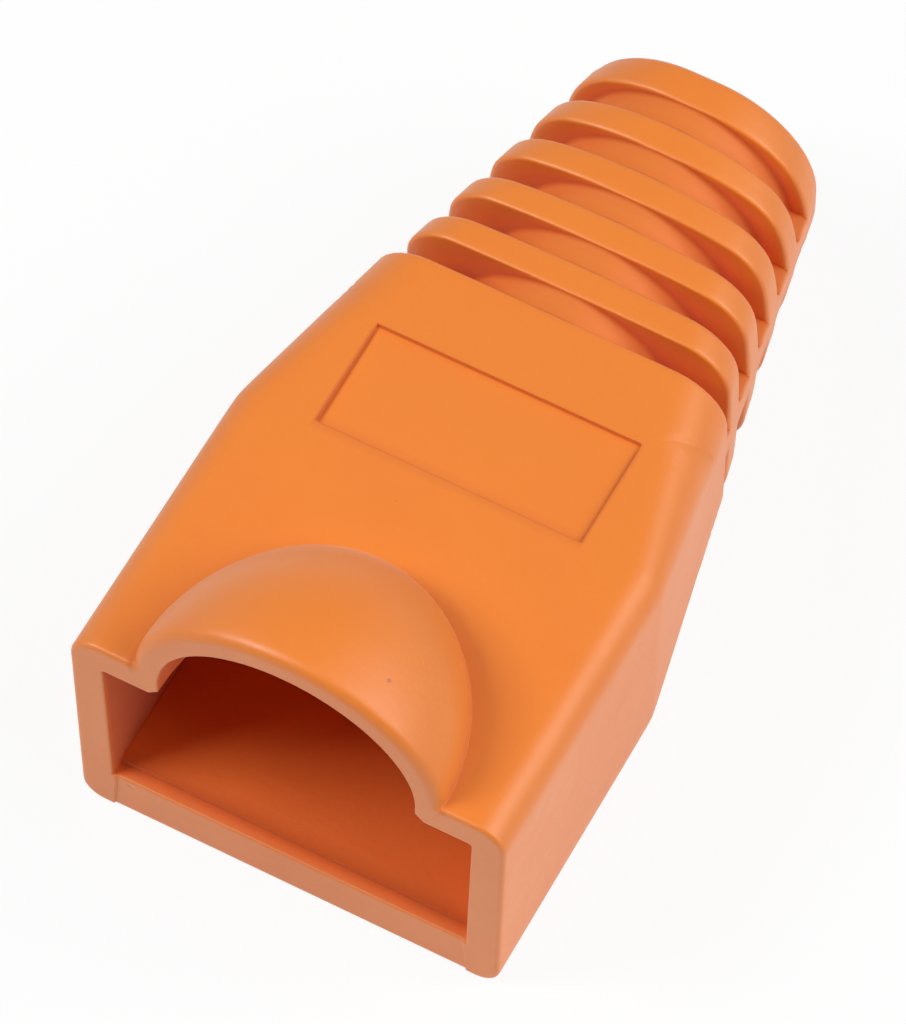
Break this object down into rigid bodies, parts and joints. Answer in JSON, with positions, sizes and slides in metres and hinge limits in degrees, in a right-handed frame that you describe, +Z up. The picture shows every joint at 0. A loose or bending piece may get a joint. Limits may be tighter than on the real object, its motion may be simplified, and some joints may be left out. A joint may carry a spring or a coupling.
{
  "type": "rj45 strain relief boot",
  "caption": "Soft moulded boot that slips over the rear of a modular plug, with a dome over the latch and a slotted tapered tail round the cable.",
  "frame": {"origin": "middle of the overall footprint, on the base plane", "axes": "+Y along the cable axis from the mouth to the tail, +Z up through the dome, X across"},
  "size_m": [0.014, 0.026, 0.013],
  "materials": {
    "boot": "soft PVC as moulded, fine satin surface, orange"
  },
  "bodies": {
    "root": {"boot": "boot"}
  },
  "joints": []
}
